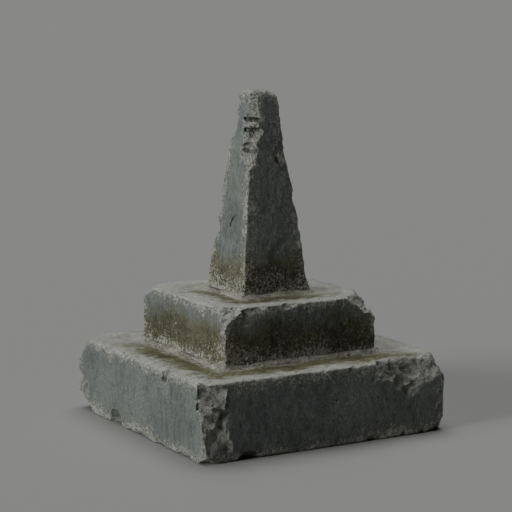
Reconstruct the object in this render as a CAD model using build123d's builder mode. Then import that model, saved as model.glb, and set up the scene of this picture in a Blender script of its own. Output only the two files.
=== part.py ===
"""A weathered stone obelisk on two square steps, in millimetres.

Three squared stones stand on one another on thin beds of lime mortar: a broad base step, an upper
step and a tapered square shaft, whose top has worn down to a rounded knob above a narrow neck.
The origin is the middle of the base step's underside. +Z is up, and -Y is the front.
"""

import os
from math import atan2, degrees

from build123d import *

# The three stones.
base_width = 1224.0
base_height = 340.0
upper_width = 774.0
upper_height = 246.0
foot_width = 346.0
top_width = 130.0
shaft_height = 894.0

# Lime mortar beds, squeezed out a little beyond the stone that stands on them.
bed_thickness = 7.0
bed_squeeze = 8.0
bed_slope = 5.0

# Worn edges: the upright arrises, the upper rims and the lower rims.
base_arris = 20.0
base_rim = 24.0
base_foot = 10.0
upper_arris = 14.0
upper_rim = 13.0
upper_foot = 3.0
shaft_arris = 11.0
knob_rim = 26.0

# Heights at which the stones start and end.
upper_start = base_height + bed_thickness
upper_top = upper_start + upper_height
shaft_start = upper_top + bed_thickness
shaft_top = shaft_start + shaft_height

base_half = base_width / 2
upper_half = upper_width / 2
LEFT, RIGHT, FRONT, BACK = -1, 1, -1, 1


def shaft_half(height):
    """Half the width of the unworn shaft at a height above the ground."""
    share = (height - shaft_start) / shaft_height
    return (foot_width + (top_width - foot_width) * share) / 2


def break_corner(corner, legs):
    """Break a corner off the stone in hand, along a plane through one point on each of its edges.

    legs are the signed distances from the corner to those three points, along X, Y and Z."""
    on_x, on_y, on_z = (Vector(*corner) + Vector(*step) for step in (
        (legs[0], 0, 0), (0, legs[1], 0), (0, 0, legs[2])))
    normal = (on_y - on_x).cross(on_z - on_x)
    if normal.dot(Vector(*corner) - on_x) < 0:
        normal = -normal
    split(bisect_by=Plane(origin=on_x, z_dir=normal), keep=Keep.BOTTOM)


def scoop(point, outward, reach, depth):
    """Take a shallow round spall, of this half width and depth, out of the stone at a point on it."""
    radius = (reach**2 + depth**2) / (2 * depth)
    with Locations(Vector(*point) + Vector(*outward).normalized() * (radius - depth)):
        Sphere(radius, mode=Mode.SUBTRACT)


def notch(point, size, turn):
    """Take a broken block, of this size and turned by these angles, out of the stone at a point."""
    with Locations(Location(point, turn)):
        Box(*size, mode=Mode.SUBTRACT)


def scoop_arris(side_x, side_y, height, reach, depth):
    """Take a spall out of one of the shaft's four arrises, centred on a height."""
    half = shaft_half(height)
    scoop((side_x * half, side_y * half, height), (side_x, side_y, 0), reach, depth)


with BuildPart() as base_step:
    with BuildSketch(Plane.XY):
        RectangleRounded(base_width, base_width, base_arris)
    extrude(amount=base_height)
    fillet(base_step.faces().sort_by(Axis.Z)[-1].edges(), base_rim)
    fillet(base_step.faces().sort_by(Axis.Z)[0].edges(), base_foot)
    # Corners broken off: two at the back left, then front left, front right and back right.
    break_corner((-base_half, base_half, 0), (88, -180, 98))
    break_corner((-base_half, base_half, base_height), (150, -110, -110))
    break_corner((-base_half, -base_half, 0), (66, 58, 26))
    break_corner((base_half, -base_half, 0), (-62, 70, 55))
    break_corner((base_half, -base_half, base_height), (-150, 150, -124))
    break_corner((base_half, base_half, 0), (-90, -70, 48))
    break_corner((base_half, base_half, base_height), (-120, -95, -52))
    # The front left arris: a square pocket under the rim, and a long spall below it.
    notch((-base_half, -base_half, base_height - 62), (104, 150, 92), (8, 6, 45))
    scoop((-base_half + 46, -base_half, 132), (-0.35, -1, 0), 96, 30)
    # The front right corner: a run of broken scoops under the rim.
    scoop((base_half - 262, -base_half, base_height - 34), (0, -1, 0.7), 92, 26)
    scoop((base_half - 128, -base_half, base_height - 96), (0.15, -1, 0.4), 104, 40)
    scoop((base_half, -base_half + 60, 118), (1, -0.6, 0), 62, 9)
    # Bites out of the lower rim: front, left, back and right.
    scoop((-base_half + 216, -base_half, 0), (0, -1, -0.5), 54, 40)
    scoop((-base_half, base_half - 350, 6), (-1, 0, -0.25), 50, 32)
    scoop((base_half - 330, base_half, 0), (0, 1, -0.6), 70, 34)
    scoop((base_half, base_half - 420, 0), (1, 0, -0.6), 62, 30)
    # Notches in the upper rim: left, front, back and right.
    scoop((-base_half, -base_half + 352, base_height - 26), (-1, 0, 0.5), 40, 17)
    scoop((-base_half, base_half - 232, base_height), (-1, 0, 1), 60, 20)
    scoop((base_half - 478, -base_half, base_height - 10), (0, -1, 0.6), 24, 15)
    scoop((-base_half + 420, base_half, base_height - 8), (0, 1, 0.8), 105, 24)
    scoop((base_half, base_half - 560, base_height - 12), (1, 0, 0.7), 88, 24)

with BuildPart() as upper_step:
    with BuildSketch(Plane.XY.offset(upper_start)):
        RectangleRounded(upper_width, upper_width, upper_arris)
    extrude(amount=upper_height)
    fillet(upper_step.faces().sort_by(Axis.Z)[-1].edges(), upper_rim)
    fillet(upper_step.faces().sort_by(Axis.Z)[0].edges(), upper_foot)
    # Corners broken off: back left, front left and back right.
    break_corner((-upper_half, upper_half, upper_top), (92, -70, -56))
    break_corner((-upper_half, -upper_half, upper_top), (78, 84, -94))
    break_corner((-upper_half, -upper_half, upper_top), (130, 118, -52))
    break_corner((upper_half, upper_half, upper_top), (-64, -104, -46))
    # Two small chips in the front rim.
    scoop((-upper_half + 180, -upper_half, upper_top), (0, -1, 1), 40, 12)
    scoop((upper_half - 445, -upper_half, upper_top), (0, -1, 1), 46, 12)
    # The front right corner has broken off down to a ledge below the rim.
    notch((upper_half - 32, -upper_half + 16, upper_top + 26), (130, 260, 110), (29, 11, 0))
    scoop((upper_half, -upper_half, upper_start + 118), (1, -1, 0), 60, 14)
    # The back.
    scoop((upper_half - 190, upper_half, upper_top - 4), (0, 1, 0.9), 72, 18)
    scoop((upper_half, upper_half - 300, upper_top), (1, 0, 0.9), 58, 15)

with BuildPart() as shaft:
    with BuildSketch(Plane.XY.offset(shaft_start)):
        Rectangle(foot_width, foot_width)
    extrude(amount=shaft_height, taper=degrees(atan2((foot_width - top_width) / 2, shaft_height)))
    fillet(shaft.faces().sort_by(Axis.Z)[-1].edges(), knob_rim)
    fillet(shaft.edges().filter_by(lambda edge: edge.length > shaft_height / 2), shaft_arris)
    # The front left arris has burst from the knob down to two thirds of the height.
    scoop_arris(LEFT, FRONT, shaft_top - 250, 132, 44)
    scoop_arris(LEFT, FRONT, shaft_top - 66, 118, 32)
    # The front right arris: a ledge, with a hollow over it.
    scoop_arris(RIGHT, FRONT, shaft_top - 296, 98, 26)
    scoop_arris(RIGHT, FRONT, shaft_top - 178, 84, 18)
    scoop_arris(RIGHT, FRONT, shaft_top - 520, 96, 13)
    scoop_arris(RIGHT, FRONT, shaft_top - 745, 70, 13)
    # The back left arris: the neck, and a step a third of the way up.
    scoop_arris(LEFT, BACK, shaft_top - 164, 92, 28)
    scoop_arris(LEFT, BACK, shaft_top - 640, 46, 20)
    scoop_arris(LEFT, BACK, shaft_top - 560, 40, 12)
    # The back right arris.
    scoop_arris(RIGHT, BACK, shaft_top - 172, 96, 28)
    scoop_arris(RIGHT, BACK, shaft_top - 410, 120, 24)
    scoop_arris(RIGHT, BACK, shaft_top - 700, 60, 15)

with BuildPart() as upper_bed:
    with BuildSketch(Plane.XY.offset(base_height)):
        Rectangle(upper_width + 2 * bed_squeeze, upper_width + 2 * bed_squeeze)
    extrude(amount=bed_thickness)
    chamfer(upper_bed.faces().sort_by(Axis.Z)[-1].edges(), bed_slope)

with BuildPart() as shaft_bed:
    with BuildSketch(Plane.XY.offset(upper_top)):
        Rectangle(foot_width + 2 * bed_squeeze, foot_width + 2 * bed_squeeze)
    extrude(amount=bed_thickness)
    chamfer(shaft_bed.faces().sort_by(Axis.Z)[-1].edges(), bed_slope)

os.makedirs("parts", exist_ok=True)
for label, piece in {
    "base_step": base_step,
    "upper_bed": upper_bed,
    "upper_step": upper_step,
    "shaft_bed": shaft_bed,
    "shaft": shaft,
}.items():
    piece.part.label = label
    export_step(piece.part, f"parts/{label}.step")
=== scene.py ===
"""The finish of a weathered stone obelisk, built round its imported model.

One Geometry Nodes tree squares, wears and breaks each stone, and crumbles the lime mortar that it
stands on. A second one scatters crumbs of that mortar. Lengths are in metres unless a name or a
comment says millimetres, +Z is up and -Y is the front.
"""

import math

import bpy
from mathutils import Matrix, Vector


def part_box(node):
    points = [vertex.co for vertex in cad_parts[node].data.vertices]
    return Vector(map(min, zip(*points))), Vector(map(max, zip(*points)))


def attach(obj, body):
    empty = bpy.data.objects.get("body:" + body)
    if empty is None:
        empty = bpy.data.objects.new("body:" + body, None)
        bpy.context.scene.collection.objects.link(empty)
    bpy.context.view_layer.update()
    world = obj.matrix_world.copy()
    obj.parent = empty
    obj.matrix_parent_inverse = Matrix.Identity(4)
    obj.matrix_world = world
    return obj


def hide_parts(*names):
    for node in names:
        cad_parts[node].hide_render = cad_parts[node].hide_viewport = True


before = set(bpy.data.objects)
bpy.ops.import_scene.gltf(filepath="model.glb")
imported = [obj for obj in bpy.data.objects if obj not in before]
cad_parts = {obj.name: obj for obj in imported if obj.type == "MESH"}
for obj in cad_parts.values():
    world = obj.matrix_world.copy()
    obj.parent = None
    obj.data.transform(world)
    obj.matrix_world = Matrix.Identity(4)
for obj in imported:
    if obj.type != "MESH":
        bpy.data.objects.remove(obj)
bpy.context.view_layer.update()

MM = 0.001


# ---------------------------------------------------------------------------------------------
# Node helpers


class Graph:
    """Adds nodes to a tree and wires each one to what it is given, which is a value or a socket."""

    def __init__(self, tree):
        self.tree = tree

    def add(self, kind, inputs=None, **settings):
        node = self.tree.nodes.new(kind)
        for name, value in settings.items():
            setattr(node, name, value)
        for name, value in (inputs or {}).items():
            self.feed(node.inputs[name], value)
        return node

    def feed(self, socket, value):
        if isinstance(value, bpy.types.NodeSocket):
            self.tree.links.new(value, socket)
        else:
            socket.default_value = value

    def math(self, operation, *values, clamp=False):
        inputs = dict(enumerate(values))
        return self.add("ShaderNodeMath", inputs, operation=operation, use_clamp=clamp).outputs[0]

    def vector(self, operation, *values):
        inputs = dict(enumerate(values))
        if operation == "SCALE":
            inputs = {"Vector": values[0], "Scale": values[1]}
        node = self.add("ShaderNodeVectorMath", inputs, operation=operation)
        return node.outputs["Value" if operation in ("LENGTH", "DOT_PRODUCT") else "Vector"]

    def split(self, vector):
        return self.add("ShaderNodeSeparateXYZ", {0: vector}).outputs

    def join(self, x, y, z):
        return self.add("ShaderNodeCombineXYZ", {0: x, 1: y, 2: z}).outputs[0]

    def noise(self, vector, scale, detail=2.0, roughness=0.5):
        return self.add("ShaderNodeTexNoise", {
            "Vector": vector, "Scale": scale, "Detail": detail, "Roughness": roughness,
        }).outputs

    def cells(self, vector, scale):
        return self.add("ShaderNodeTexVoronoi", {"Vector": vector, "Scale": scale}).outputs

    def ramp(self, value, low, high, to_low=0.0, to_high=1.0, smooth=True):
        return self.add(
            "ShaderNodeMapRange",
            {"Value": value, "From Min": low, "From Max": high, "To Min": to_low, "To Max": to_high},
            interpolation_type="SMOOTHSTEP" if smooth else "LINEAR",
        ).outputs["Result"]

    def mix(self, amount, below, above, blend="MIX"):
        """One colour laid over another."""
        node = self.add("ShaderNodeMix", data_type="RGBA", blend_type=blend)
        for index, value in ((0, amount), (6, below), (7, above)):
            self.feed(node.inputs[index], value)
        return node.outputs[2]

    def group(self, tree, inputs):
        return self.add("ShaderNodeGroup", inputs, node_tree=tree).outputs

    def store(self, geometry, name, value):
        """Keep a value on the mesh's points, under a name that the materials read."""
        return self.add(
            "GeometryNodeStoreNamedAttribute", {"Geometry": geometry, "Name": name, "Value": value},
            data_type="FLOAT", domain="POINT",
        ).outputs["Geometry"]


def sockets(tree, inputs, outputs):
    """Name a node group's inputs and outputs: {name: (socket type, default)} and {name: type}."""
    for name, (kind, default) in inputs.items():
        socket = tree.interface.new_socket(name, in_out="INPUT", socket_type="NodeSocket" + kind)
        if default is not None:
            socket.default_value = default
    for name, kind in outputs.items():
        tree.interface.new_socket(name, in_out="OUTPUT", socket_type="NodeSocket" + kind)


# ---------------------------------------------------------------------------------------------
# The weathered stone


def rounded_meet(g, a, b, radius):
    """Distance to where two surfaces meet, with the edge between them worn to a radius."""
    a = g.math("ADD", a, radius)
    b = g.math("ADD", b, radius)
    outside = g.vector("LENGTH", g.join(g.math("MAXIMUM", a, 0.0), g.math("MAXIMUM", b, 0.0), 0.0))
    inside = g.math("MINIMUM", g.math("MAXIMUM", a, b), 0.0)
    return g.math("SUBTRACT", g.math("ADD", outside, inside), radius)


def edge_radius(g, radius, seeded):
    """The radius to which an edge is worn: it changes slowly, and sudden bites add to it."""
    slow = g.ramp(g.noise(seeded, 5.0, 1.0)["Fac"], 0.3, 0.7, 0.4, 1.5)
    bites = g.ramp(g.noise(seeded, 21.0, 2.0, 0.65)["Fac"], 0.54, 0.74, 0.0, 1.5)
    bites = g.math("MULTIPLY", bites, g.math("MINIMUM", radius, 12 * MM))
    return g.math("MULTIPLY_ADD", radius, slow, bites)


def dressed_block(g, given, place, up, seeded):
    """Distance to the squared stone, which may narrow towards its top, and to its nearest edge."""
    arris, rim, foot = (edge_radius(g, given[name], seeded) for name in ("Arris", "Rim", "Foot"))
    low, high = given["Low"], given["High"]
    size = g.split(g.vector("SUBTRACT", high, low))
    middle = g.vector("SCALE", g.vector("ADD", low, high), 0.5)
    offset = g.split(g.vector("ABSOLUTE", g.vector("SUBTRACT", place, middle)))
    taken = g.math("MULTIPLY", given["Narrowing"], g.math("DIVIDE", up, size["Z"]))
    side = [
        g.math("ADD", g.math("MULTIPLY_ADD", size[axis], -0.5, offset[axis]), taken)
        for axis in ("X", "Y")
    ]
    sides = rounded_meet(g, side[0], side[1], arris)
    above = g.math("SUBTRACT", g.split(place)["Z"], g.split(high)["Z"])
    topped = rounded_meet(g, sides, above, rim)
    below = g.math("MULTIPLY", up, -1.0)
    block = rounded_meet(g, topped, below, foot)
    upright = g.math("MINIMUM", side[0], side[1])
    level = g.math("MINIMUM", g.math("MAXIMUM", side[0], side[1]), g.math("MAXIMUM", above, below))
    return block, g.math("MAXIMUM", upright, level)


def ragged_break(g, seeded, wander):
    """How far a broken face strays from its plane: lumps, hollow facets with ridges, and grit."""
    lumps = g.noise(seeded, 15.0, 2.0, 0.55)["Fac"]
    facets = g.cells(g.vector("MULTIPLY_ADD", wander, (0.03, 0.03, 0.03), seeded), 23.0)["Distance"]
    grit = g.noise(seeded, 78.0, 2.0, 0.7)["Fac"]
    total = g.math("MULTIPLY_ADD", lumps, 1.0, -0.5)
    total = g.math("ADD", total, g.math("MULTIPLY_ADD", facets, 0.9, -0.38))
    return g.math("ADD", total, g.math("MULTIPLY_ADD", grit, 1.0, -0.5))


def break_out(g, breaks, place, stone, ragged):
    """Take each broken out piece, a turned and rounded block, from the stone in turn.

    Returns the distance to what is left, and how broken the surface there is, from 0 to 1."""
    count = g.add("GeometryNodeAttributeDomainSize", {"Geometry": breaks}, component="MESH")
    start = g.add("GeometryNodeRepeatInput")
    end = g.add("GeometryNodeRepeatOutput")
    start.pair_with_output(end)
    end.repeat_items.clear()
    for kind, name in (("INT", "Index"), ("FLOAT", "Stone"), ("FLOAT", "Broken")):
        end.repeat_items.new(kind, name)
    for name, value in (("Iterations", count.outputs["Point Count"]), ("Index", 0),
                        ("Stone", stone), ("Broken", 0.0)):
        g.feed(start.inputs[name], value)
    index = start.outputs["Index"]

    def fact(name, kind="FLOAT"):
        value = g.add("GeometryNodeInputNamedAttribute", {"Name": name}, data_type=kind)
        return g.add(
            "GeometryNodeSampleIndex",
            {"Geometry": breaks, "Value": value.outputs["Attribute"], "Index": index},
            data_type=kind, domain="POINT", clamp=True,
        ).outputs["Value"]

    turn = g.add("FunctionNodeEulerToRotation", {0: fact("turn", "FLOAT_VECTOR")}).outputs[0]
    turn = g.add("FunctionNodeInvertRotation", {0: turn}).outputs[0]
    local = g.add(
        "FunctionNodeRotateVector",
        {"Vector": g.vector("SUBTRACT", place, fact("position", "FLOAT_VECTOR")), "Rotation": turn},
    ).outputs[0]
    beyond = g.vector("SUBTRACT", g.vector("ABSOLUTE", local), fact("half_size", "FLOAT_VECTOR"))
    outside = g.vector("LENGTH", g.vector("MAXIMUM", beyond, (0.0, 0.0, 0.0)))
    sides = g.split(beyond)
    inside = g.math("MAXIMUM", sides["X"], g.math("MAXIMUM", sides["Y"], sides["Z"]))
    block = g.math("ADD", outside, g.math("MINIMUM", inside, 0.0))
    block = g.math("SUBTRACT", block, fact("rounding"))
    block = g.math("MULTIPLY_ADD", ragged, fact("roughness"), block)
    cut = g.math("MULTIPLY", block, -1.0)
    left = g.math("SMOOTH_MAX", start.outputs["Stone"], cut, fact("softness"))
    # Where this piece shapes the surface, its own roughness says how broken that surface looks.
    shaped = g.ramp(g.math("SUBTRACT", cut, start.outputs["Stone"]), -3 * MM, 4 * MM)
    change = g.math("SUBTRACT", g.ramp(fact("roughness"), 2 * MM, 12 * MM), start.outputs["Broken"])
    g.feed(end.inputs["Index"], g.math("ADD", index, 1.0))
    g.feed(end.inputs["Stone"], left)
    g.feed(end.inputs["Broken"],
           g.math("MULTIPLY_ADD", shaped, change, start.outputs["Broken"]))
    return end.outputs["Stone"], end.outputs["Broken"]


def meshed(g, given, stone):
    """A mesh of the surface where the distance is nothing."""
    margin = g.vector("SCALE", (3.0, 3.0, 3.0), given["Cell"])
    low = g.vector("SUBTRACT", given["Low"], margin)
    high = g.vector("ADD", given["High"], margin)
    counts = g.split(g.vector("DIVIDE", g.vector("SUBTRACT", high, low), given["Cell"]))
    volume = g.add(
        "GeometryNodeVolumeCube",
        {
            "Density": g.math("MULTIPLY", stone, -1.0), "Background": -1.0, "Min": low, "Max": high,
            "Resolution X": counts["X"], "Resolution Y": counts["Y"], "Resolution Z": counts["Z"],
        },
    ).outputs["Volume"]
    return g.add(
        "GeometryNodeVolumeToMesh", {"Volume": volume, "Threshold": 0.0, "Adaptivity": 0.0},
        resolution_mode="GRID",
    ).outputs["Mesh"]


def surface_loss(g, given, seeded, up):
    """Depth that weather has taken from the faces, but not from the flat underside."""
    swell = g.ramp(g.noise(seeded, 3.6, 3.0, 0.5)["Fac"], 0.32, 0.68, smooth=False)
    scuff = g.ramp(g.noise(seeded, 28.0, 5.0, 0.68)["Fac"], 0.3, 0.7, smooth=False)
    shift = g.vector("SCALE", g.noise(seeded, 60.0, 2.0)["Color"], 0.012)
    holes = g.cells(g.vector("ADD", seeded, shift), 34.0)
    chance = g.ramp(g.split(holes["Color"])["X"], 0.72, 1.0)
    hole = g.math("MULTIPLY", g.ramp(holes["Distance"], 0.36, 0.04), chance)
    lost = g.math("MULTIPLY", swell, given["Swell"])
    lost = g.math("MULTIPLY_ADD", scuff, given["Scuff"], lost)
    lost = g.math("MULTIPLY_ADD", hole, given["Pits"], lost)
    return g.math("MULTIPLY", lost, g.ramp(up, 0.0, 25 * MM))


def relief(g, cell, reach):
    """How far the surface stands out from what lies within reach, in millimetres.

    A hollow is negative."""
    reach = g.math("DIVIDE", reach, cell)
    position = g.add("GeometryNodeInputPosition").outputs[0]
    blurred = g.add(
        "GeometryNodeBlurAttribute",
        {"Value": position, "Iterations": g.math("MULTIPLY", reach, reach)},
        data_type="FLOAT_VECTOR",
    ).outputs["Value"]
    normal = g.add("GeometryNodeInputNormal").outputs["Normal"]
    out = g.vector("DOT_PRODUCT", g.vector("SUBTRACT", position, blurred), normal)
    return g.math("DIVIDE", out, MM)


def end_tree(g, geometry, material, output):
    """Finish a tree: smooth shading, real geometry and its material."""
    smooth = g.add("GeometryNodeSetShadeSmooth", {"Geometry": geometry}).outputs["Geometry"]
    real = g.add("GeometryNodeRealizeInstances", {"Geometry": smooth}).outputs["Geometry"]
    coated = g.add("GeometryNodeSetMaterial", {"Geometry": real, "Material": material})
    g.feed(g.add("NodeGroupOutput").inputs[output], coated.outputs["Geometry"])


def weathered_stone_tree():
    """A stone or a mortar bed: squared between two corners, worn, broken and pitted."""
    tree = bpy.data.node_groups.new("Weathered stone", "GeometryNodeTree")
    sockets(
        tree,
        {
            "Breaks": ("Geometry", None),
            "Low": ("Vector", None),
            "High": ("Vector", None),
            "Narrowing": ("Float", 0.0),
            "Arris": ("Float", 0.01),
            "Rim": ("Float", 0.01),
            "Foot": ("Float", 0.01),
            "Crumble": ("Float", 0.0),
            "Swell": ("Float", 0.004),
            "Scuff": ("Float", 0.003),
            "Pits": ("Float", 0.0045),
            "Drift": ("Float", 0.03),
            "Band": ("Float", 0.06),
            "Cell": ("Float", 0.005),
            "Seed": ("Float", 0.0),
            "Material": ("Material", None),
        },
        {"Stone": "Geometry"},
    )
    g = Graph(tree)
    given = g.add("NodeGroupInput").outputs
    place = g.add("GeometryNodeInputPosition").outputs[0]
    # Every noise is read beside the stone's own place, so that each seed gives another stone.
    seeded = g.vector("ADD", place, g.vector("SCALE", (7.1, 3.7, 5.3), given["Seed"]))
    wander = g.vector("SUBTRACT", g.noise(seeded, 12.0, 2.0, 0.6)["Color"], (0.5, 0.5, 0.5))
    up = g.math("SUBTRACT", g.split(place)["Z"], g.split(given["Low"])["Z"])

    ragged = ragged_break(g, seeded, wander)
    stone, to_edge = dressed_block(g, given, place, up, seeded)
    stone = g.math("MULTIPLY_ADD", ragged, given["Crumble"], stone)
    drifted = g.vector("ADD", place, g.vector("SCALE", wander, given["Drift"]))
    stone, broken = break_out(g, given["Breaks"], drifted, stone, ragged)
    mesh = g.store(meshed(g, given, stone), "broken", broken)
    mesh = g.store(mesh, "edge", g.ramp(g.math("DIVIDE", to_edge, given["Band"]), -1.0, -0.1))

    normal = g.add("GeometryNodeInputNormal").outputs["Normal"]
    lost = g.vector("SCALE", normal, surface_loss(g, given, seeded, up))
    worn = g.vector("MINIMUM", g.vector("SUBTRACT", place, lost), given["High"])
    worn = g.vector("MAXIMUM", worn, given["Low"])
    mesh = g.add("GeometryNodeSetPosition", {"Geometry": mesh, "Position": worn}).outputs["Geometry"]
    mesh = g.store(mesh, "relief", relief(g, given["Cell"], 12 * MM))
    end_tree(g, mesh, given["Material"], "Stone")
    return tree


# ---------------------------------------------------------------------------------------------
# Crumbs of mortar


def crumb_tree():
    """Crumbs scattered on two stones, close to where one stands on the other, round a mortar bed."""
    tree = bpy.data.node_groups.new("Mortar crumbs", "GeometryNodeTree")
    sockets(
        tree,
        {
            "Bed": ("Geometry", None),
            "Lower stone": ("Object", None),
            "Upper stone": ("Object", None),
            "Half width": ("Float", 0.4),
            "Foot": ("Float", 0.3),
            "Spread": ("Float", 0.03),
            "Climb": ("Float", 0.05),
            "Density": ("Float", 4000.0),
            "Size": ("Float", 0.006),
            "Seed": ("Int", 0),
            "Material": ("Material", None),
        },
        {"Bed": "Geometry"},
    )
    g = Graph(tree)
    given = g.add("NodeGroupInput").outputs
    stones = g.add("GeometryNodeJoinGeometry")
    for name in ("Upper stone", "Lower stone"):
        stone = g.add("GeometryNodeObjectInfo", {"Object": given[name]})
        tree.links.new(stone.outputs["Geometry"], stones.inputs["Geometry"])
    place = g.add("GeometryNodeInputPosition").outputs[0]
    axes = g.split(place)
    across = g.math("MAXIMUM", g.math("ABSOLUTE", axes["X"]), g.math("ABSOLUTE", axes["Y"]))
    away = g.math("DIVIDE", g.math("SUBTRACT", across, given["Half width"]), given["Spread"])
    over = g.math("DIVIDE", g.math("SUBTRACT", axes["Z"], given["Foot"]), given["Climb"])
    patchy = g.ramp(g.noise(place, 9.0, 3.0)["Fac"], 0.4, 0.62, 0.15, 1.0)
    near = g.vector("LENGTH", g.join(g.math("MAXIMUM", away, 0.0), g.math("MAXIMUM", over, 0.0), 0.0))
    inside = g.math("GREATER_THAN", away, -0.6)
    above = g.math("GREATER_THAN", over, -0.4)
    chance = g.math("POWER", 2.718, g.math("MULTIPLY", near, -1.6))
    chance = g.math("MULTIPLY", g.math("MULTIPLY", chance, inside), g.math("MULTIPLY", patchy, above))
    points = g.add(
        "GeometryNodeDistributePointsOnFaces",
        {"Mesh": stones.outputs["Geometry"], "Seed": given["Seed"],
         "Density": g.math("MULTIPLY", chance, given["Density"])},
        distribute_method="RANDOM",
    ).outputs["Points"]
    crumb = g.add("GeometryNodeMeshIcoSphere", {"Radius": 1.0, "Subdivisions": 1}).outputs["Mesh"]
    turn = g.add(
        "FunctionNodeRandomValue",
        {"Min": (0.0, 0.0, 0.0), "Max": (6.3, 6.3, 6.3), "Seed": given["Seed"]},
        data_type="FLOAT_VECTOR",
    ).outputs["Value"]
    shape = g.add(
        "FunctionNodeRandomValue",
        {"Min": (0.3, 0.3, 0.3), "Max": (1.0, 1.0, 1.0), "Seed": g.math("ADD", given["Seed"], 7.0)},
        data_type="FLOAT_VECTOR",
    ).outputs["Value"]
    crumbs = g.add(
        "GeometryNodeInstanceOnPoints",
        {"Points": points, "Instance": crumb, "Rotation": turn,
         "Scale": g.vector("SCALE", shape, given["Size"])},
    ).outputs["Instances"]
    both = g.add("GeometryNodeJoinGeometry")
    for geometry in (crumbs, given["Bed"]):
        tree.links.new(geometry, both.inputs["Geometry"])
    end_tree(g, both.outputs["Geometry"], given["Material"], "Bed")
    return tree


# ---------------------------------------------------------------------------------------------
# Broken out pieces, in millimetres and degrees


def block(place, size, turn=(0, 0, 0), rounding=4, roughness=14, softness=3):
    """A block broken out of a stone."""
    return {
        "position": Vector(place) * MM,
        "half_size": Vector(size) * MM / 2,
        "turn": Vector(math.radians(angle) for angle in turn),
        "rounding": rounding * MM,
        "roughness": roughness * MM,
        "softness": softness * MM,
    }


def scoop(point, outward, reach, depth, roughness=10, softness=3):
    """A shallow round spall, of this half width and depth, at a point on a stone."""
    radius = (reach**2 + depth**2) / (2 * depth)
    centre = Vector(point) + Vector(outward).normalized() * (radius - depth)
    return block(centre, (0, 0, 0), rounding=radius, roughness=roughness, softness=softness)


def facet(point, outward, width=500, height=500, reach=500, spin=0, **more):
    """A flat break through a point, this wide and high, that takes all that stands beyond it.

    It faces outward, and spin turns it in its own plane."""
    outward = Vector(outward).normalized()
    facing = outward.to_track_quat("Z", "Y").to_matrix() @ Matrix.Rotation(math.radians(spin), 3, "Z")
    turn = [math.degrees(angle) for angle in facing.to_euler()]
    rounding = more.setdefault("rounding", 2)
    return block(Vector(point) + outward * (reach / 2 + rounding), (width, height, reach), turn, **more)


def corner_break(corner, legs, **more):
    """A corner broken off through the points at these signed distances along its three edges."""
    corner = Vector(corner)
    points = [corner + Vector(leg if k == axis else 0 for k in range(3))
              for axis, leg in enumerate(legs)]
    outward = (points[1] - points[0]).cross(points[2] - points[0])
    if outward.dot(corner - points[0]) < 0:
        outward = -outward
    return facet(sum(points, Vector()) / 3, outward, **more)


def breaks_mesh(name, breaks):
    """A mesh with one point for each broken out piece, which carries its measures."""
    mesh = bpy.data.meshes.new(name)
    mesh.from_pydata([piece["position"] for piece in breaks], [], [])
    for label, field in (("half_size", "vector"), ("turn", "vector"), ("rounding", "value"),
                         ("roughness", "value"), ("softness", "value")):
        kind = "FLOAT_VECTOR" if field == "vector" else "FLOAT"
        layer = mesh.attributes.new(label, kind, "POINT")
        for point, piece in zip(layer.data, breaks):
            setattr(point, field, piece[label])
    return mesh


# ---------------------------------------------------------------------------------------------
# The stones

LEFT, RIGHT, FRONT, BACK = -1, 1, -1, 1


def corners(node):
    """A node's half width, foot and top, in millimetres."""
    low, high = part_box(node)
    return high.x / MM, low.z / MM, high.z / MM


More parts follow.
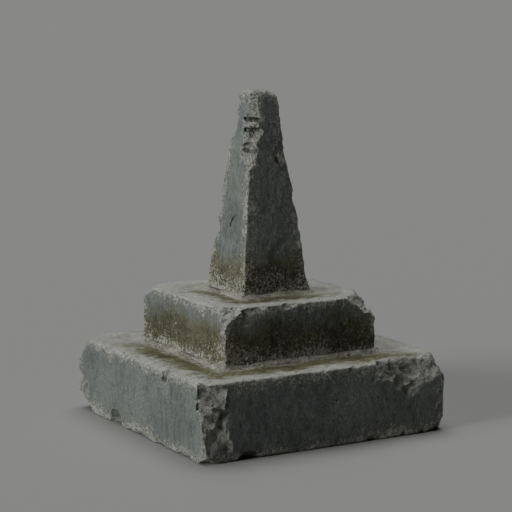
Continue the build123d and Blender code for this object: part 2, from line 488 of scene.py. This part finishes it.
def base_breaks():
    half, _, top = corners("base_step")
    return [
        # The back left corner: its foot is gone and its top is worn round. There are pits over the
        # foot and further along the left rim.
        corner_break((-half, half, 0), (88, -180, 98), roughness=12),
        corner_break((-half, half, top), (150, -110, -110), roughness=8, softness=34),
        scoop((-half, half - 88, 98), (-1, 0.3, 0), 40, 15, 20),
        scoop((-half + 10, half - 100, 92), (-1, 0.2, 0), 15, 12, 3, 1),
        scoop((-half + 8, half - 50, 136), (-1, 0.8, 0.2), 28, 9, 18),
        scoop((-half, half - 296, top - 16), (-1, 0, 0.7), 44, 14, 18),
        scoop((-half, half - 338, top - 50), (-1, 0, 0.1), 24, 7, 16),
        # The back right corner, and the feet of both front corners.
        corner_break((half, half, 0), (-90, -70, 48)),
        corner_break((half, half, top), (-120, -95, -52), softness=12),
        corner_break((-half, -half, 0), (84, 70, 31), roughness=7),
        corner_break((half, -half, 0), (-95, 70, 80), roughness=10),
        # The left rim is worn to a slope.
        facet((-half + 9, 0, top - 9), (-0.62, 0, 0.78), 1400, 120, 60, 0, roughness=5, softness=26),
        # The front left arris: a pocket under the rim, in two faces.
        facet((-half + 62, -half + 43, top - 60), (-0.47, -0.88, 0.08), 112, 80, 100, -13,
              roughness=14, softness=3),
        facet((-half + 34, -half + 44, top - 74), (-0.62, -0.78, -0.1), 60, 96, 60, -7, roughness=12),
        # Below it, a long spall on the front with a steep wall on its right, three hollows and a
        # worn arris.
        facet((-half + 58, -half + 9, 154), (-0.08, -0.99, 0.04), 104, 140, 70, 9, roughness=11,
              softness=5),
        facet((-half + 66, -half + 9, 84), (-0.06, -0.99, 0.14), 92, 108, 70, -11, roughness=12),
        facet((-half + 110, -half + 4, 176), (-0.72, -0.66, 0.2), 50, 62, 60, -8, roughness=9,
              softness=8),
        scoop((-half + 36, -half + 10, 146), (-0.25, -1, 0.1), 30, 9, 18),
        scoop((-half + 80, -half + 10, 122), (0, -1, 0.2), 26, 7, 16),
        scoop((-half + 98, -half, 70), (0.1, -1, 0), 36, 12, 12),
        facet((-half + 5, -half + 9, 120), (-0.86, -0.5, 0.1), 60, 190, 40, roughness=10, softness=8),
        # The front right corner: a shallow break that deepens to the right, and a hollow.
        facet((half - 300, -half + 10, top - 60), (-0.08, -0.84, 0.54), 150, 130, 120, -24,
              roughness=8),
        facet((half - 286, -half + 4, 262), (-0.06, -0.92, 0.40), 110, 100, 100, -30, roughness=8),
        facet((half - 215, -half + 18, top - 60), (-0.04, -0.84, 0.54), 150, 170, 120, -14,
              roughness=9),
        scoop((half - 230, -half + 10, 240), (-0.1, -1, 0.15), 40, 17, 14, 8),
        facet((half - 190, -half + 8, 186), (-0.1, -0.90, 0.42), 76, 70, 60, 24, roughness=10,
              softness=8),
        # Beyond the hollow, a rough spall open to the top, and the corner itself.
        facet((half - 132, -half + 20, 256), (-0.12, -0.91, 0.38), 180, 220, 120, 16, roughness=11,
              softness=8),
        facet((half - 128, -half + 46, top - 14), (-0.05, -0.60, 0.80), 220, 110, 120, roughness=10),
        corner_break((half, -half, top), (-112, 132, -120), roughness=16, softness=20),
        facet((half - 8, -half + 8, 150), (0.72, -0.69, 0), 60, 340, 60, roughness=10, softness=16),
        scoop((half - 30, -half, 96), (0.4, -1, 0), 22, 9, 10),
        # Bites out of the lower rim: front, left, back and right.
        scoop((-half + 220, -half, -18), (0, -1, -0.3), 62, 38, 5),
        scoop((-half + 290, -half, 0), (0, -1, -0.7), 34, 10, 9),
        scoop((half - 229, -half, 5), (0, -1, -0.6), 17, 12, 6),
        scoop((half - 395, -half, 0), (0, -1, -0.8), 60, 12, 9),
        scoop((-half, half - 397, 8), (-1, 0, 0), 57, 50, 7, 1),
        scoop((-half, -half + 484, 32), (-1, 0, -0.2), 34, 9, 16),
        scoop((-half, -half + 580, 2), (-1, 0, -0.8), 60, 12, 12),
        scoop((-half, -half + 386, 8), (-1, 0, -0.7), 52, 14, 14),
        scoop((-half, -half + 270, 0), (-1, 0, -0.7), 40, 9, 10),
        scoop((-half, -half + 160, 4), (-1, 0, -0.8), 60, 14, 12),
        scoop((half - 330, half, 0), (0, 1, -0.6), 70, 34, 14),
        scoop((half, half - 420, 0), (1, 0, -0.6), 62, 30, 14),
        # Notches in the upper rim: left, front, back and right.
        scoop((-half, -half + 360, top - 34), (-1, 0, 0.2), 34, 15, 18),
        scoop((-half, -half + 344, top - 16), (-1, 0, 0.7), 42, 14, 16),
        scoop((-half, -half + 346, top - 92), (-1, 0, 0.1), 46, 6, 6),
        scoop((-half + 8, -half + 364, top - 48), (-1, 0.2, 0.2), 15, 14, 3, 1),
        scoop((half - 497, -half, top - 20), (0, -1, 0.3), 24, 6, 5, 4),
        scoop((-half + 420, half, top - 8), (0, 1, 0.8), 105, 24, 16),
        scoop((half, half - 560, top - 12), (1, 0, 0.7), 88, 24, 16),
    ]


def upper_breaks():
    half, foot, top = corners("upper_step")
    return [
        corner_break((-half, half, top), (92, -100, -60), roughness=10, softness=10),
        # The front left corner: a steep facet and a shallow one, with a pit on the left.
        corner_break((-half, -half, top), (78, 130, -94), roughness=22),
        corner_break((-half, -half, top), (155, 112, -52), roughness=22),
        scoop((-half, -half + 72, top - 14), (-1, -0.4, 0.6), 26, 15, 12),
        corner_break((half, half, top), (-64, -104, -46)),
        # Chips in the front rim.
        scoop((-half + 178, -half, top), (0, -1, 1), 36, 13, 12),
        scoop((-half + 132, -half, top - 8), (-0.3, -1, 0.5), 26, 12, 12),
        scoop((-half + 325, -half, top - 6), (0, -1, 0.8), 48, 15, 10),
        facet((-half + 152, -half + 4, top - 44), (-0.1, -0.96, 0.26), 110, 74, 60, 12, roughness=10,
              softness=6),
        # The front right corner has broken off down to a ledge, with sloping faces above it.
        facet((half - 120, -half + 31, top - 13), (0.42, -0.62, 0.66), 420, 160, 200, roughness=12),
        facet((half - 37, -half + 116, top - 13), (0.64, -0.42, 0.65), 420, 160, 200, roughness=12),
        facet((half + 13, -half - 13, top - 76), (0.12, -0.17, 0.97), 240, 156, 160, roughness=9),
        corner_break((half, -half, top - 64), (-58, 58, -52), roughness=9, softness=5),
        scoop((half, -half, foot + 100), (1, -1, 0), 52, 15, 10),
        facet((half - 5, -half + 5, foot + 80), (0.7, -0.7, 0), 60, 260, 60, roughness=9, softness=9),
        scoop((half - 190, half, top - 4), (0, 1, 0.9), 72, 18),
        scoop((half, half - 300, top), (1, 0, 0.9), 58, 15),
    ]


def shaft_breaks(narrowing):
    half, foot, top = corners("shaft")

    def out(height):
        return half - narrowing / MM * (height - foot) / (top - foot)

    def arris(side_x, side_y, height, reach, depth, *more):
        place = (side_x * out(height), side_y * out(height), height)
        return scoop(place, (side_x, side_y, 0), reach, depth, *more)

    def burst(height, outward, depth, *more, **named):
        """A facet across the front left arris, this deep below it."""
        across = Vector(outward[:2]).normalized()
        inward = across.dot((LEFT * out(height), FRONT * out(height))) - depth
        return facet((across.x * inward, across.y * inward, height), outward, *more, **named)

    def crevice(height, width, depth, inward, along, turn, thick=5, roughness=9):
        """A thin slit in the burst arris, this far in from it and along it.

        turn tilts it sideways, and it deepens towards the front."""
        across = Vector((-0.8, -0.6))
        place = across * (across.dot((LEFT * out(height), FRONT * out(height))) - inward)
        place += Vector((0.6, -0.8)) * along
        return block((place.x, place.y, height), (width, depth * 2, thick), (0, turn, -35), 2,
                     roughness, 1)

    half_top = out(top)
    return [
        # The knob is worn round: its front left corner is gone, with pits down the middle.
        corner_break((-half_top, half_top, top), (40, -40, -38), roughness=4, softness=14),
        corner_break((half_top, -half_top, top), (-40, 40, -38), roughness=4, softness=14),
        corner_break((half_top, half_top, top), (-40, -40, -38), roughness=4, softness=14),
        burst(top - 40, (-0.84, -0.54, 0.03), 27, 240, 176, 120, softness=14, roughness=5),
        burst(top - 44, (-0.42, -0.90, 0.08), 17, 240, 168, 120, softness=18, roughness=5),
        scoop((-49, -53, top - 48), (-0.84, -0.54, 0), 9, 6, 7),
        scoop((-46, -57, top - 66), (-0.84, -0.54, 0), 12, 7, 8),
        scoop((-50, -54, top - 92), (-0.84, -0.54, 0), 9, 5, 7),
        # Under it the front left arris has burst, in banks between thin dark crevices.
        burst(top - 151, (-0.80, -0.50, 0.36), 34, 240, 36, 120, 3, roughness=15),
        burst(top - 208, (-0.70, -0.60, 0.34), 42, 240, 70, 120, -5, roughness=17),
        burst(top - 290, (-0.88, -0.30, 0.38), 27, 240, 92, 140, 14, roughness=15),
        burst(top - 300, (-0.46, -0.80, 0.36), 22, 240, 100, 140, 18, roughness=15),
        crevice(top - 132, 66, 27, 34, 6, 2, 8, 6),
        crevice(top - 181, 36, 22, 33, -8, -4, 9, 5),
        crevice(top - 178, 24, 16, 32, 30, 4, 7, 4),
        crevice(top - 268, 30, 24, 36, -14, 8, 7, 6),
        crevice(top - 268, 34, 24, 35, 18, -6, 7, 7),
        # The front right arris: a bright ledge that slopes down to it, with a hollow over it.
        facet((92, -91, top - 300), (0.12, -0.98, 0.13), 130, 116, 80, -41, roughness=7, softness=2),
        scoop((44, -97, top - 306), (0.1, -1, 0), 10, 7, 4, 2),
        arris(RIGHT, FRONT, top - 110, 70, 7, 7, 8),
        arris(RIGHT, FRONT, top - 236, 108, 16, 8, 10),
        arris(RIGHT, FRONT, top - 476, 44, 14, 8),
        arris(RIGHT, FRONT, top - 589, 38, 10, 8),
        arris(RIGHT, FRONT, top - 744, 80, 11, 8),
        # The back left arris: the neck, and a step a third of the way up.
        arris(LEFT, BACK, top - 150, 76, 36, 8, 8),
        arris(LEFT, BACK, top - 40, 66, 13, 8, 8),
        arris(LEFT, BACK, top - 630, 50, 30, 8),
        arris(LEFT, BACK, top - 512, 50, 15, 8),
        # A thin crack on the left face.
        block((-out(top - 583), -5, top - 583), (12, 3, 64), (31, 0, 0), 1, 2, 1),
        # The back right arris.
        arris(RIGHT, BACK, top - 172, 96, 28),
        arris(RIGHT, BACK, top - 410, 120, 24, 14),
        arris(RIGHT, BACK, top - 700, 60, 15),
    ]


# ---------------------------------------------------------------------------------------------
# Finishes

STONE_DARK, STONE_LIGHT = (0.098, 0.114, 0.104, 1), (0.172, 0.190, 0.176, 1)
STONE_WASHED = (0.225, 0.246, 0.23, 1)
STONE_RUBBED = (0.23, 0.247, 0.23, 1)
# Pales the ridges: worn stone, and a painted highlight along them.
STONE_WORN_AND_HIGHLIGHT = (0.36, 0.377, 0.35, 1)
BROKEN_DARK, BROKEN_LIGHT = (0.25, 0.252, 0.222, 1), (0.48, 0.488, 0.45, 1)
DUST_DARK, DUST_LIGHT = (0.37, 0.374, 0.338, 1), (0.48, 0.483, 0.442, 1)
ALGAE_DARK, ALGAE_LIGHT = (0.054, 0.053, 0.020, 1), (0.125, 0.121, 0.056, 1)
LIME_SMEAR = (0.42, 0.42, 0.37, 1)
# Darkens the stone's hollows: dirt there, and painted shade.
STONE_DIRT_AND_SHADE = (0.055, 0.052, 0.038, 1)
STONE_FLECK, STONE_PIT = (0.44, 0.45, 0.385, 1), (0.040, 0.040, 0.033, 1)

MORTAR_DARK, MORTAR_LIGHT = (0.22, 0.217, 0.172, 1), (0.40, 0.395, 0.34, 1)
# The second colour darkens the mortar's hollows: dirt there, and painted shade.
MORTAR_ALGAE, MORTAR_DIRT_AND_SHADE = (0.13, 0.125, 0.075, 1), (0.10, 0.095, 0.065, 1)
MORTAR_FLECK, MORTAR_PIT = (0.42, 0.42, 0.36, 1), (0.05, 0.048, 0.035, 1)

BUMP_STONE, BUMP_MORTAR = 4.5 * MM, 3.0 * MM


def grain_group():
    """Grain of the stone: slow mottling, fine speckle, pale flecks, dark pits and their relief."""
    tree = bpy.data.node_groups.new("Stone grain", "ShaderNodeTree")
    sockets(
        tree,
        {"Place": ("Vector", None), "Flecks": ("Float", 0.4), "Pits": ("Float", 0.4)},
        {"Tone": "Float", "Speckle": "Float", "Fleck": "Float", "Pit": "Float", "Height": "Float"},
    )
    g = Graph(tree)
    given = g.add("NodeGroupInput").outputs
    place = given["Place"]
    broad = g.noise(place, 4.5, 3.0, 0.6)["Fac"]
    middling = g.noise(place, 26.0, 3.0, 0.65)["Fac"]
    tone = g.math("MULTIPLY_ADD", broad, 0.55, g.math("MULTIPLY", middling, 0.45))
    tone = g.ramp(tone, 0.38, 0.62)
    fine = g.noise(place, 105.0, 4.0, 0.75)["Fac"]
    speckle = g.ramp(fine, 0.32, 0.68, smooth=False)

    shift = g.vector("SCALE", g.noise(place, 150.0, 2.0)["Color"], 0.010)
    loose = g.vector("ADD", place, shift)
    blot = g.noise(loose, 104.0, 3.0, 0.68)["Fac"]
    clump = g.math("MULTIPLY_ADD", g.noise(place, 20.0, 3.0, 0.6)["Fac"], -0.24, 0.80)
    least = g.math("MULTIPLY_ADD", given["Flecks"], -0.28, clump)
    fleck = g.ramp(blot, least, g.math("ADD", least, 0.06))

    holes = g.cells(loose, 128.0)
    rare = g.math("MULTIPLY_ADD", given["Pits"], -0.55, 1.0)
    chance = g.ramp(g.split(holes["Color"])["X"], rare, g.math("ADD", rare, 0.2))
    pit = g.math("MULTIPLY", g.ramp(holes["Distance"], 0.42, 0.12), chance)

    height = g.math("MULTIPLY_ADD", middling, 1.1, g.math("MULTIPLY", fine, 0.9))
    height = g.math("MULTIPLY_ADD", fleck, 0.5, height)
    height = g.math("MULTIPLY_ADD", pit, -0.7, height)
    end = g.add("NodeGroupOutput").inputs
    for name, value in (("Tone", tone), ("Speckle", speckle), ("Fleck", fleck), ("Pit", pit),
                        ("Height", height)):
        g.feed(end[name], value)
    return tree


def streak_group():
    """Streaks that rain has drawn down the upright faces, from 0 to 1."""
    tree = bpy.data.node_groups.new("Rain streaks", "ShaderNodeTree")
    sockets(tree, {"Place": ("Vector", None)}, {"Streak": "Float"})
    g = Graph(tree)
    given = g.add("NodeGroupInput").outputs
    sway = g.vector("SCALE", g.noise(given["Place"], 9.0, 3.0)["Color"], 0.05)
    drawn = g.vector("MULTIPLY", g.vector("ADD", given["Place"], sway), (46.0, 46.0, 6.0))
    streak = g.ramp(g.noise(drawn, 1.0, 5.0, 0.72)["Fac"], 0.32, 0.68)
    g.feed(g.add("NodeGroupOutput").inputs["Streak"], streak)
    return tree


def algae_group():
    """Algae: it climbs a stone in streaks from its foot, and lies in bands round the next one's.

    Crust says how crusted the stone is low down, and Lime how much mortar is smeared round the
    next stone."""
    tree = bpy.data.node_groups.new("Algae stain", "ShaderNodeTree")
    sockets(
        tree,
        {
            "Place": ("Vector", None),
            "Up": ("Float", 0.0),
            "Foot": ("Float", 0.0),
            "Climb": ("Float", 0.1),
            "Next foot": ("Float", 0.0),
            "Spread": ("Float", 0.1),
        },
        {"Stain": "Float", "Crust": "Float", "Lime": "Float"},
    )
    g = Graph(tree)
    given = g.add("NodeGroupInput").outputs
    place = given["Place"]
    patch = g.math("SUBTRACT", g.noise(place, 6.0, 4.0, 0.6)["Fac"], 0.5)
    drawn = g.vector("MULTIPLY", place, (34.0, 34.0, 3.0))
    drip = g.math("SUBTRACT", g.noise(drawn, 1.0, 4.0, 0.65)["Fac"], 0.5)
    axes = g.split(place)
    rise = g.math("DIVIDE", g.math("SUBTRACT", axes["Z"], given["Foot"]), given["Climb"])
    height = g.math("ADD", rise, g.math("MULTIPLY_ADD", patch, 1.3, g.math("MULTIPLY", drip, 0.9)))
    climbing = g.ramp(height, 1.15, 0.5)
    reach = g.math("MAXIMUM", g.math("ABSOLUTE", axes["X"]), g.math("ABSOLUTE", axes["Y"]))
    away = g.math("DIVIDE", g.math("SUBTRACT", reach, given["Next foot"]), given["Spread"])
    # The level faces hold more of it towards the front left, and more lime towards the left.
    side = g.math("MULTIPLY_ADD", axes["X"], 0.8, axes["Y"])
    cloudy = g.math("SUBTRACT", g.noise(place, 24.0, 4.0, 0.6)["Fac"], 0.5)
    away = g.math("MULTIPLY_ADD", patch, 1.3, g.math("MULTIPLY_ADD", cloudy, 0.8, away))
    spreading = g.math("MULTIPLY", g.ramp(away, 1.25, 0.45), g.ramp(side, -0.24, 0.03, 1.12, 0.35))
    level = g.math("SUBTRACT", 1.0, given["Up"])
    stain = g.math("MULTIPLY_ADD", climbing, level, g.math("MULTIPLY", spreading, given["Up"]))
    low = g.ramp(g.math("MULTIPLY_ADD", patch, 1.2, rise), 1.05, 0.0)
    crust = g.math("MULTIPLY", low, level)
    smear = g.math("DIVIDE", g.math("SUBTRACT", reach, given["Next foot"]), 62 * MM)
    smear = g.ramp(g.math("MULTIPLY_ADD", patch, 1.6, smear), 1.1, 0.4)
    lime = g.math("MULTIPLY", g.math("MULTIPLY", smear, given["Up"]),
                  g.ramp(g.noise(place, 42.0, 4.0, 0.7)["Fac"], 0.40, 0.54))
    lime = g.math("MULTIPLY", lime, g.ramp(axes["X"], 0.0, -0.25, 0.45, 1.0))
    end = g.add("NodeGroupOutput").inputs
    g.feed(end["Stain"], stain)
    g.feed(end["Crust"], crust)
    g.feed(end["Lime"], lime)
    return tree


def attribute(g, name):
    return g.add("ShaderNodeAttribute", attribute_name=name).outputs["Fac"]


def finish(material, colour, roughness, height, depth):
    """Wire a colour, a roughness and a bump of this depth into the material's own shader."""
    g = Graph(material.node_tree)
    shader = material.node_tree.nodes["Principled BSDF"]
    shader.inputs["Specular IOR Level"].default_value = 0.4
    g.feed(shader.inputs["Base Color"], colour)
    g.feed(shader.inputs["Roughness"], roughness)
    bump = g.add("ShaderNodeBump", {"Height": height, "Distance": depth, "Strength": 1.0})
    g.feed(shader.inputs["Normal"], bump.outputs["Normal"])


def new_material(name):
    material = bpy.data.materials.new(name)
    material.use_nodes = True
    return material


def stone_material(name, groups, foot, climb, crusted, next_foot, spread):
    """Grey-green stone, pale where worn or broken, dusty on top, olive where algae grows, with ridges
    paled by wear and a painted highlight and hollows darkened by dirt and painted shade.

    foot is the height at which the stone starts, climb how far algae rises above it, and crusted how
    thick the crust of pale flecks is down there. next_foot is half the width of the stone on top, and
    spread is how far algae and lime lie round that one."""
    material = new_material(name)
    g = Graph(material.node_tree)
    place = g.add("ShaderNodeTexCoord").outputs["Object"]
    facing = g.split(g.add("ShaderNodeNewGeometry").outputs["Normal"])["Z"]
    up = g.ramp(facing, 0.3, 0.85)
    stood_out, broken = attribute(g, "relief"), attribute(g, "broken")
    edge = attribute(g, "edge")
    algae = g.group(groups["algae"], {
        "Place": place, "Up": up, "Foot": foot, "Climb": climb,
        "Next foot": next_foot, "Spread": spread,
    })
    stain = g.math("MULTIPLY", algae["Stain"], g.math("MULTIPLY_ADD", broken, -0.6, 1.0))
    wobble = g.math("MULTIPLY_ADD", g.noise(place, 60.0, 3.0, 0.6)["Fac"], 3.2, -1.6)
    stood_out = g.math("ADD", stood_out, wobble)
    worn = g.ramp(stood_out, 0.4, 1.9)
    patch = g.ramp(g.noise(place, 4.0, 3.0, 0.6)["Fac"], 0.48, 0.68)
    uneven = g.ramp(g.noise(place, 14.0, 3.0, 0.6)["Fac"], 0.36, 0.6)
    edge = g.math("MULTIPLY", edge, g.math("MULTIPLY_ADD", uneven, 0.45, 0.5))
    crust = g.math("MULTIPLY", algae["Crust"], crusted)
    rough = g.math("MULTIPLY_ADD", patch, 0.35, g.math("MAXIMUM", crust, edge), clamp=True)
    flecks = g.math("MULTIPLY_ADD", rough, 0.86, 0.1)
    pits = g.math("MULTIPLY_ADD", rough, 0.6, 0.06)
    grain = g.group(groups["grain"], {"Place": place, "Flecks": flecks, "Pits": pits})
    streak = g.group(groups["streaks"], {"Place": place})["Streak"]

    colour = g.mix(grain["Tone"], STONE_DARK, STONE_LIGHT)
    washed = g.math("MULTIPLY", streak, g.math("MULTIPLY_ADD", up, -0.55, 0.55))
    colour = g.mix(washed, colour, STONE_WASHED)
    colour = g.mix(g.math("MULTIPLY", edge, 0.4), colour, STONE_RUBBED)
    fresh = g.mix(grain["Tone"], BROKEN_DARK, BROKEN_LIGHT)
    colour = g.mix(g.math("MULTIPLY", broken, 0.82), colour, fresh)
    dust = g.mix(grain["Tone"], DUST_DARK, DUST_LIGHT)
    colour = g.mix(g.math("MULTIPLY", up, 0.85), colour, dust)
    growth = g.mix(grain["Tone"], ALGAE_DARK, ALGAE_LIGHT)
    amount = g.math("MULTIPLY", stain, g.math("MULTIPLY_ADD", up, 0.05, 0.88))
    colour = g.mix(amount, colour, growth)
    colour = g.mix(g.math("MULTIPLY", algae["Lime"], 0.8), colour, LIME_SMEAR)

    # Ridges that stand out turn pale: wear, and a painted highlight along them.
    colour = g.mix(g.math("MULTIPLY", worn, 0.62), colour, STONE_WORN_AND_HIGHLIGHT)
    # Hollows darken, from dirt and from painted shade, less so where the stone is broken.
    hollow = g.ramp(stood_out, -0.6, -2.6)
    amount = g.math("MULTIPLY", hollow, g.math("MULTIPLY_ADD", broken, -0.4, 0.6))
    colour = g.mix(amount, colour, STONE_DIRT_AND_SHADE)
    contrast = g.math("MULTIPLY_ADD", rough, 0.34, 0.27)
    speckle = g.math("MULTIPLY_ADD", grain["Speckle"], 2.0, -1.0)
    speckle = g.math("MULTIPLY_ADD", speckle, contrast, 1.0)
    colour = g.mix(1.0, colour, speckle, "MULTIPLY")
    colour = g.mix(g.math("MULTIPLY", grain["Fleck"], 0.82), colour, STONE_FLECK)
    colour = g.mix(g.math("MULTIPLY", grain["Pit"], 0.6), colour, STONE_PIT)

    roughness = g.math("MULTIPLY_ADD", grain["Tone"], -0.14, 0.84)
    roughness = g.math("MULTIPLY_ADD", worn, -0.08, roughness)
    height = g.math("MULTIPLY", grain["Height"], g.math("MULTIPLY_ADD", broken, 1.2, 1.0))
    finish(material, colour, roughness, height, BUMP_STONE)
    return material


def mortar_material(groups):
    """Lime mortar with pale flecks, dark pits, patches of algae, and dirt and painted shade in its
    hollows.
    """
    material = new_material("crumbly lime mortar")
    g = Graph(material.node_tree)
    place = g.add("ShaderNodeTexCoord").outputs["Object"]
    grain = g.group(groups["grain"], {"Place": place, "Flecks": 0.7, "Pits": 0.6})
    stood_out = attribute(g, "relief")
    colour = g.mix(grain["Tone"], MORTAR_DARK, MORTAR_LIGHT)
    patch = g.ramp(g.noise(place, 11.0, 4.0, 0.6)["Fac"], 0.46, 0.62)
    colour = g.mix(g.math("MULTIPLY", patch, 0.5), colour, MORTAR_ALGAE)
    # Hollows darken a little, from dirt and from painted shade.
    hollow = g.ramp(stood_out, -0.8, -3.0)
    colour = g.mix(g.math("MULTIPLY", hollow, 0.18), colour, MORTAR_DIRT_AND_SHADE)
    speckle = g.ramp(grain["Speckle"], 0.0, 1.0, 0.55, 1.45, smooth=False)
    colour = g.mix(1.0, colour, speckle, "MULTIPLY")
    colour = g.mix(g.math("MULTIPLY", grain["Fleck"], 0.5), colour, MORTAR_FLECK)
    colour = g.mix(g.math("MULTIPLY", grain["Pit"], 0.5), colour, MORTAR_PIT)
    roughness = g.math("MULTIPLY_ADD", grain["Tone"], -0.1, 0.92)
    finish(material, colour, roughness, grain["Height"], BUMP_MORTAR)
    return material


# ---------------------------------------------------------------------------------------------
# Making the pieces

# Each stone, and each bed before its crumbs, is thinned to about this many triangles.
STONE_TRIANGLES, BED_TRIANGLES = 190000, 90000

# The finished stones stay this far inside the sides of their nodes' boxes.
INSET = Vector((0.1, 0.1, 0.0)) * MM

# How far a bed reaches out from the stone above, down into the one below, up the sides of the one
# above and into them, in millimetres.
BED_BANK, BED_SUNK, BED_CLIMB, BED_OVERLAP = 32, 12, 10, 12


def plain_mesh(source):
    """The object's shape with its modifiers applied, as a mesh of its own."""
    return bpy.data.meshes.new_from_object(
        source.evaluated_get(bpy.context.evaluated_depsgraph_get()))


def run_tree(source, tree, **inputs):
    """The mesh that a Geometry Nodes tree makes of an object, with its inputs set by name."""
    modifier = source.modifiers.new("shape", "NODES")
    modifier.node_group = tree
    names = {item.name: item.identifier for item in tree.interface.items_tree}
    for label, value in inputs.items():
        modifier[names[label.replace("_", " ").capitalize()]] = value
    mesh = plain_mesh(source)
    source.modifiers.clear()
    return mesh


def weather(name, breaks, faces, **inputs):
    """A stone or a mortar bed as a plain mesh, thinned to about this many triangles."""
    piece = bpy.data.objects.new(name, breaks_mesh(name + "_breaks", breaks))
    bpy.context.scene.collection.objects.link(piece)
    piece.data = run_tree(piece, STONE_TREE, **inputs)
    count = sum(len(polygon.vertices) - 2 for polygon in piece.data.polygons)
    piece.modifiers.new("thin", "DECIMATE").ratio = min(1.0, faces / count)
    piece.data = plain_mesh(piece)
    piece.modifiers.clear()
    piece.data.name = name
    return piece


def place_piece(piece, node):
    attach(piece, "root")
    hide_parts(node)


def set_stone(node, slot, material, breaks, seed, narrowing=0.0, **lengths):
    """A finished stone in its node's place. The lengths, named as in its tree, are in millimetres."""
    low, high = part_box(node)
    lengths = {name: length * MM for name, length in lengths.items()}
    stone = weather(
        node + "_stone", breaks, STONE_TRIANGLES, low=low + INSET, high=high - INSET,
        narrowing=narrowing, seed=float(seed), material=material, **lengths,
    )
    place_piece(stone, node)
    return stone


def lay_bed(node, material, stones, lower, upper, seed):
    """A mortar bed in its node's place, banked up against the stone above, with crumbs round it.

    It lies between two of the finished stones, which are named by their nodes."""
    half, foot, _ = corners(upper)
    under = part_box(node)[0].z / MM
    # What lies well inside the stone above is left out, from 3 mm over its foot.
    width, height = 2 * (half - BED_OVERLAP), 200
    hollow = block((0, 0, foot + 3 + height / 2), (width, width, height), roughness=0)
    bed = weather(
        node + "_mortar", [hollow], BED_TRIANGLES,
        low=Vector((-half - BED_BANK, -half - BED_BANK, under - BED_SUNK)) * MM,
        high=Vector((half + BED_BANK, half + BED_BANK, foot + BED_CLIMB)) * MM,
        arris=30 * MM, rim=50 * MM, foot=3 * MM, crumble=3.5 * MM, swell=3 * MM, scuff=4 * MM,
        pits=3 * MM, drift=0.0, cell=3 * MM, seed=float(seed), material=material,
    )
    bed.data = run_tree(
        bed, CRUMB_TREE, lower_stone=stones[lower], upper_stone=stones[upper],
        half_width=half * MM, foot=foot * MM, spread=34 * MM, climb=24 * MM, density=4600.0,
        size=7 * MM, seed=seed, material=material,
    )
    bed.data.name = bed.name
    place_piece(bed, node)


GROUPS = {"grain": grain_group(), "streaks": streak_group(), "algae": algae_group()}
STONE_TREE = weathered_stone_tree()
CRUMB_TREE = crumb_tree()

upper_half, upper_foot, _ = corners("upper_step")
shaft_half, shaft_foot, _ = corners("shaft")

# No algae climbs the base step. The shaft carries no stone, so algae may lie all over its top.
base_finish = stone_material(
    "base stone", GROUPS, foot=-1.0, climb=1 * MM, crusted=0.6,
    next_foot=upper_half * MM, spread=185 * MM)
upper_finish = stone_material(
    "step stone", GROUPS, foot=upper_foot * MM, climb=190 * MM, crusted=0.5,
    next_foot=shaft_half * MM, spread=130 * MM)
shaft_finish = stone_material(
    "shaft stone", GROUPS, foot=shaft_foot * MM, climb=185 * MM, crusted=0.75,
    next_foot=1.0, spread=1.0)
mortar = mortar_material(GROUPS)

# How far each side of the shaft leans in between its foot and its top.
narrowing = 108 * MM

stones = {
    "base_step": set_stone(
        "base_step", "base_stone", base_finish, base_breaks(), 1,
        cell=5, arris=18, rim=12, foot=12, band=85, pits=4.5),
    "upper_step": set_stone(
        "upper_step", "step_stone", upper_finish, upper_breaks(), 2,
        cell=4, arris=8, rim=12, foot=3, band=80, pits=4.5),
    "shaft": set_stone(
        "shaft", "shaft_stone", shaft_finish, shaft_breaks(narrowing), 3, narrowing,
        cell=3, arris=8, rim=33, foot=3, band=95, pits=0),
}
lay_bed("upper_bed", mortar, stones, "base_step", "upper_step", 4)
lay_bed("shaft_bed", mortar, stones, "upper_step", "shaft", 5)


# ---------------------------------------------------------------------------------------------
# The studio


def aim(thing, toward):
    """Turn a light or the camera to look along a direction."""
    thing.rotation_mode = "QUATERNION"
    thing.rotation_quaternion = Vector(toward).to_track_quat("-Z", "Y")
    bpy.context.scene.collection.objects.link(thing)


def soft_sun(name, source, energy, angle):
    """A distant light with a wide disc, which shines from a direction."""
    sun = bpy.data.objects.new(name, bpy.data.lights.new(name, "SUN"))
    sun.data.energy = energy
    sun.data.angle = math.radians(angle)
    aim(sun, -Vector(source))


SKY, LEFT_ENERGY, TOP_ENERGY = 0.015, 2.15, 1.95

reach = 400.0
floor = bpy.data.objects.new("floor", bpy.data.meshes.new("floor"))
floor.data.from_pydata(
    [(-reach, -reach, 0), (reach, -reach, 0), (reach, reach, 0), (-reach, reach, 0)], [],
    [(0, 1, 2, 3)])
bpy.context.scene.collection.objects.link(floor)
floor.data.materials.append(new_material("floor"))
paint = floor.data.materials[0].node_tree.nodes["Principled BSDF"].inputs
paint["Base Color"].default_value = (0.28, 0.28, 0.275, 1)
paint["Roughness"].default_value = 0.9

world = bpy.data.worlds.new("studio")
bpy.context.scene.world = world
world.use_nodes = True
sky = world.node_tree.nodes["Background"].inputs
sky["Color"].default_value = (0.96, 1.0, 0.99, 1)
sky["Strength"].default_value = SKY

soft_sun("left light", (-0.95, -0.02, 0.32), LEFT_ENERGY, 25)
soft_sun("top light", (0.12, 0.26, 0.96), TOP_ENERGY, 50)

camera = bpy.data.objects.new("camera", bpy.data.cameras.new("camera"))
camera.data.sensor_width = 36
camera.data.lens = 123.96
camera.location = (-3.935, -6.761, 1.922)
yaw, pitch = math.radians(30.15), math.radians(8.57)
aim(camera, (
    math.sin(yaw) * math.cos(pitch), math.cos(yaw) * math.cos(pitch), -math.sin(pitch)))
bpy.context.scene.camera = camera
